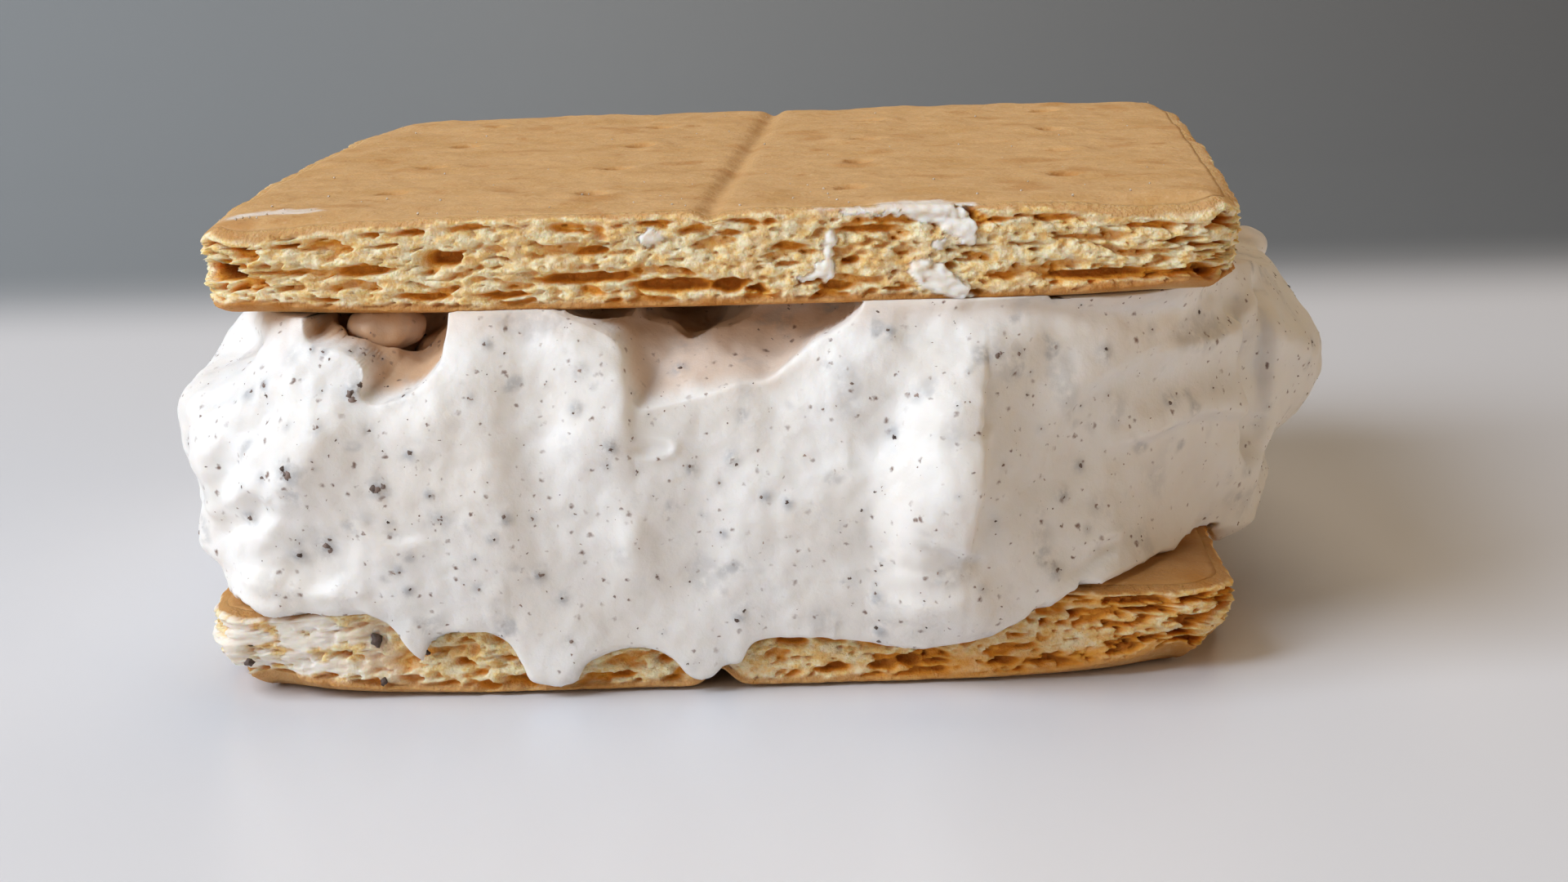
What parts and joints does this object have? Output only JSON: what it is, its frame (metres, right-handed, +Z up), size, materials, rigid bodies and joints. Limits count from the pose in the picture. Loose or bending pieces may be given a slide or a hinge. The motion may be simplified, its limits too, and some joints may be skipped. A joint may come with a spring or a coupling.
{
  "type": "ice cream sandwich",
  "caption": "Ice cream sandwich: a thick layer of whipped cookies-and-cream filling between square, scored, flaky biscuits, with drips over the lower one.",
  "frame": {"origin": "middle of the footprint, on the surface that the lower cracker rests on", "axes": "+Z up through the layers, -Y out of the side where the filling hangs over in drips, +X to the right of someone who looks at that side, along which the crackers' score lines lie side by side"},
  "size_m": [0.0788, 0.0758, 0.0304],
  "materials": {
    "top_cracker": null,
    "filling": null,
    "bottom_cracker": null
  },
  "bodies": {
    "root": {"top_cracker": "top_cracker", "filling": "filling", "bottom_cracker": "bottom_cracker"}
  },
  "joints": []
}
